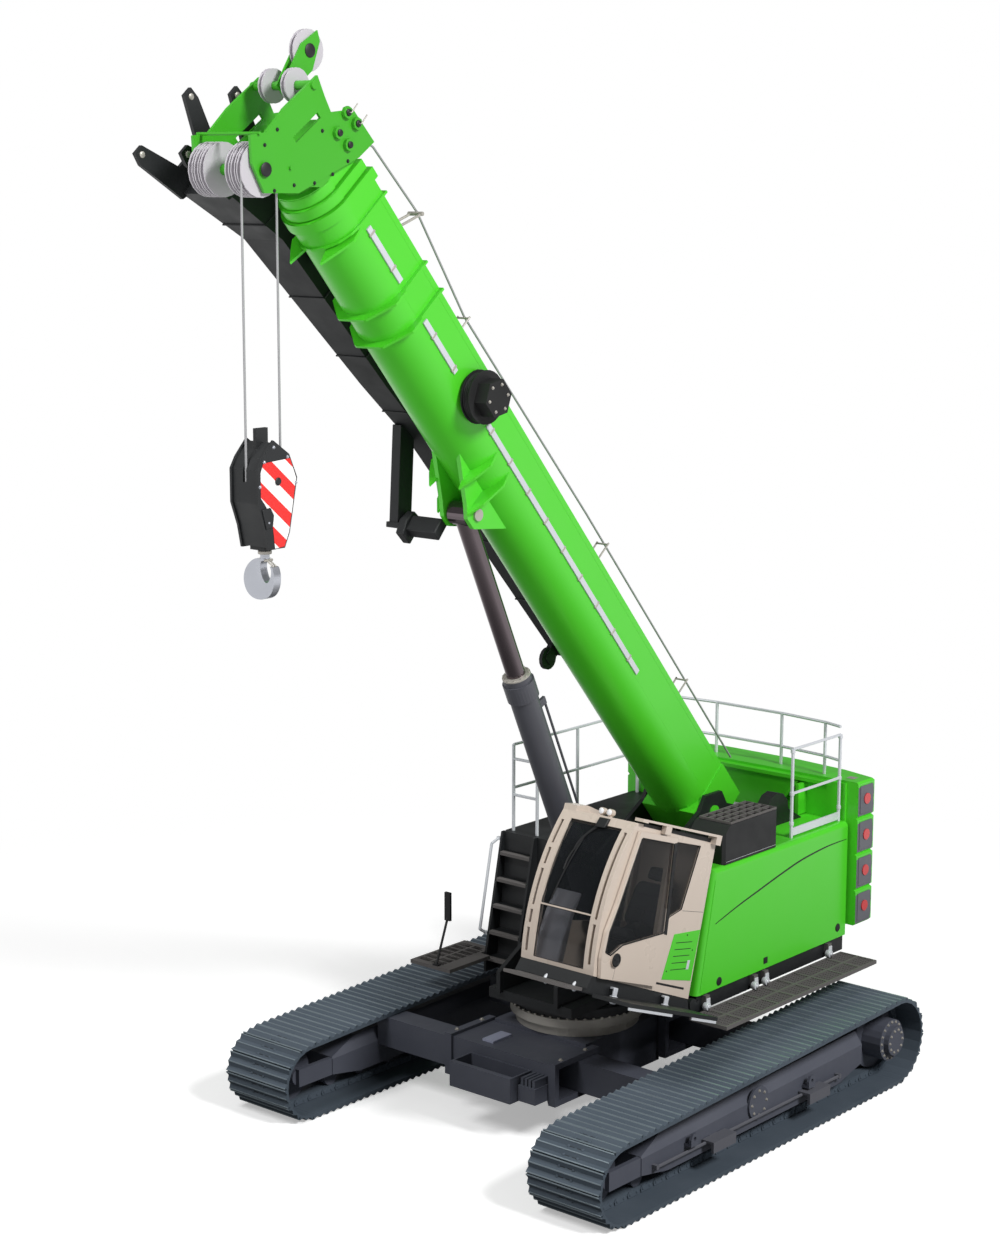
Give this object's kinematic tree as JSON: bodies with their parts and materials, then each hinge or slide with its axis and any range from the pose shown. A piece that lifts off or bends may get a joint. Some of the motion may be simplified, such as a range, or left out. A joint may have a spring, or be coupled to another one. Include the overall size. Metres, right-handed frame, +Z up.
{
  "type": "crawler crane",
  "caption": "Crawler crane with extendable tracks, slewing upper carriage, tilting cab, telescopic boom on a lift cylinder, stowed fly jib and hook block.",
  "frame": {"origin": "on the ground under the slew axis, midway between the tracks", "axes": "+X to the machine's left, +Y to its rear, +Z up; the boom points towards -Y"},
  "size_m": [5, 8.4981, 11.0019],
  "materials": {
    "track_steel": "worn rolled steel",
    "frame_grey": "satin paint",
    "ring_steel": "machined",
    "dark_paint": "satin paint",
    "engine_iron": "cast",
    "green_paint": "gloss paint",
    "black_plastic": "moulded, fine grain",
    "grating_steel": "galvanised grating",
    "rail_steel": "galvanised tube",
    "beige_paint": "gloss paint",
    "tinted_glass": "clear tinted",
    "seat_fabric": "woven",
    "sheave_plastic": "cast nylon",
    "chrome_rod": "hard chrome",
    "barrel_grey": "satin paint",
    "wire_rope": "stranded",
    "hook_steel": "forged, satin paint",
    "cap_grey": "satin paint",
    "red_lens": "moulded lens",
    "strip_plastic": "extruded",
    "reel_paint": "gloss paint"
  },
  "bodies": {
    "carbody": {"carbody": "frame_grey", "slew_ring": "ring_steel", "front_box": "frame_grey", "carbody_steps": "grating_steel"},
    "track_left": {"track_frame_left": "frame_grey", "cross_beams_left": "frame_grey", "track_loop_left": "track_steel", "drive_wheel_left": "frame_grey", "idler_left": "frame_grey", "track_rollers_left": "frame_grey", "track_steps_left": "frame_grey"},
    "track_right": {"track_frame_right": "frame_grey", "cross_beams_right": "frame_grey", "track_loop_right": "track_steel", "drive_wheel_right": "frame_grey", "idler_right": "frame_grey", "track_rollers_right": "frame_grey", "track_steps_right": "frame_grey"},
    "upper": {"upper_frame": "dark_paint", "engine_block": "engine_iron", "left_hood": "green_paint", "air_box": "black_plastic", "right_tank": "dark_paint", "right_ladder": "dark_paint", "right_platform": "grating_steel", "left_walkway": "grating_steel", "counterweight_slabs": "green_paint", "tail_frame": "green_paint", "winches": "dark_paint", "handrail_left": "rail_steel", "handrail_right": "rail_steel", "handrail_rear": "rail_steel", "air_grille": "grating_steel", "rear_cowl": "black_plastic", "slab_caps": "cap_grey", "slab_lamps": "red_lens", "front_mirror": "black_plastic", "ladder_handrail": "rail_steel"},
    "cab": {"cab_shell": "beige_paint", "cab_glass": "tinted_glass", "cab_seat": "seat_fabric", "cab_platform": "dark_paint", "cab_front_step": "grating_steel"},
    "door": {"cab_door": "beige_paint", "door_glass": "tinted_glass"},
    "boom_base": {"boom_base": "green_paint", "lift_pin": "ring_steel", "fly_jib": "dark_paint", "boom_strips": "strip_plastic", "cable_reel": "reel_paint"},
    "boom_section_2": {"boom_section_2": "green_paint"},
    "boom_section_3": {"boom_section_3": "green_paint"},
    "boom_head": {"boom_head": "green_paint", "head_sheaves": "sheave_plastic"},
    "lift_rod": {"lift_rod": "chrome_rod"},
    "lift_barrel": {"lift_barrel": "barrel_grey"},
    "hoist_falls": {"rope_falls": "wire_rope"},
    "hook_block": {"hook_block": "dark_paint"},
    "hook": {"hook": "hook_steel"}
  },
  "joints": [
    {"name": "track_left_slide", "type": "slide", "parent": "carbody", "child": "track_left", "axis": [1, 0, 0], "range_m": [-0.75, 0]},
    {"name": "track_right_slide", "type": "slide", "parent": "carbody", "child": "track_right", "axis": [-1, 0, 0], "range_m": [-0.75, 0]},
    {"name": "slew", "type": "hinge", "parent": "carbody", "child": "upper", "pos_m": [0, 0, 1.08], "axis": [0, 0, 1], "continuous": true},
    {"name": "boom_luff", "type": "hinge", "parent": "upper", "child": "boom_base", "pos_m": [0, 1.86348, 2.82439], "axis": [-1, 0, 0], "range_deg": [-49.2, 33.8]},
    {"name": "telescope_2", "type": "slide", "parent": "boom_base", "child": "boom_section_2", "axis": [0, -0.6534, 0.757], "range_m": [0, 7.7]},
    {"name": "telescope_3", "type": "slide", "parent": "boom_section_2", "child": "boom_section_3", "axis": [0, -0.6534, 0.757], "range_m": [0, 7.7]},
    {"name": "telescope_4", "type": "slide", "parent": "boom_section_3", "child": "boom_head", "axis": [0, -0.6534, 0.757], "range_m": [0, 7.7]},
    {"name": "lift_rod_hinge", "type": "hinge", "parent": "boom_base", "child": "lift_rod", "pos_m": [0, -1.83711, 6.49939], "axis": [-1, 0, 0], "range_deg": [-2, 1.5]},
    {"name": "lift_cylinder_slide", "type": "slide", "parent": "lift_rod", "child": "lift_barrel", "axis": [0, 0.4214, -0.9069], "range_m": [-1.45, 1]},
    {"name": "cab_tilt", "type": "hinge", "parent": "upper", "child": "cab", "pos_m": [0, 0.05, 1.33], "axis": [-1, 0, 0], "range_deg": [-20, 0]},
    {"name": "door_slide", "type": "slide", "parent": "cab", "child": "door", "axis": [0, 0.9397, -0.342], "range_m": [0, 0.6]},
    {"name": "hook_swing", "type": "hinge", "parent": "boom_head", "child": "hoist_falls", "pos_m": [0, -4.80746, 9.78754], "axis": [1, 0, 0], "range_deg": [-49.2, 33.8]},
    {"name": "hoist", "type": "slide", "parent": "hoist_falls", "child": "hook_block", "axis": [0, 0, -1], "range_m": [-1.6, 0], "deforming": ["rope_falls"]},
    {"name": "hook_turn", "type": "hinge", "parent": "hook_block", "child": "hook", "pos_m": [0.3, -4.80746, 6.5], "axis": [0, 0, 1], "continuous": true}
  ],
  "couplings": [
    {"joint": "telescope_3", "follows": "telescope_2", "ratio": 1},
    {"joint": "telescope_4", "follows": "telescope_2", "ratio": 1},
    {"joint": "lift_rod_hinge", "follows": "boom_luff", "ratio": 0.03},
    {"joint": "lift_cylinder_slide", "follows": "boom_luff", "m_per_rad": 1.64}
  ]
}
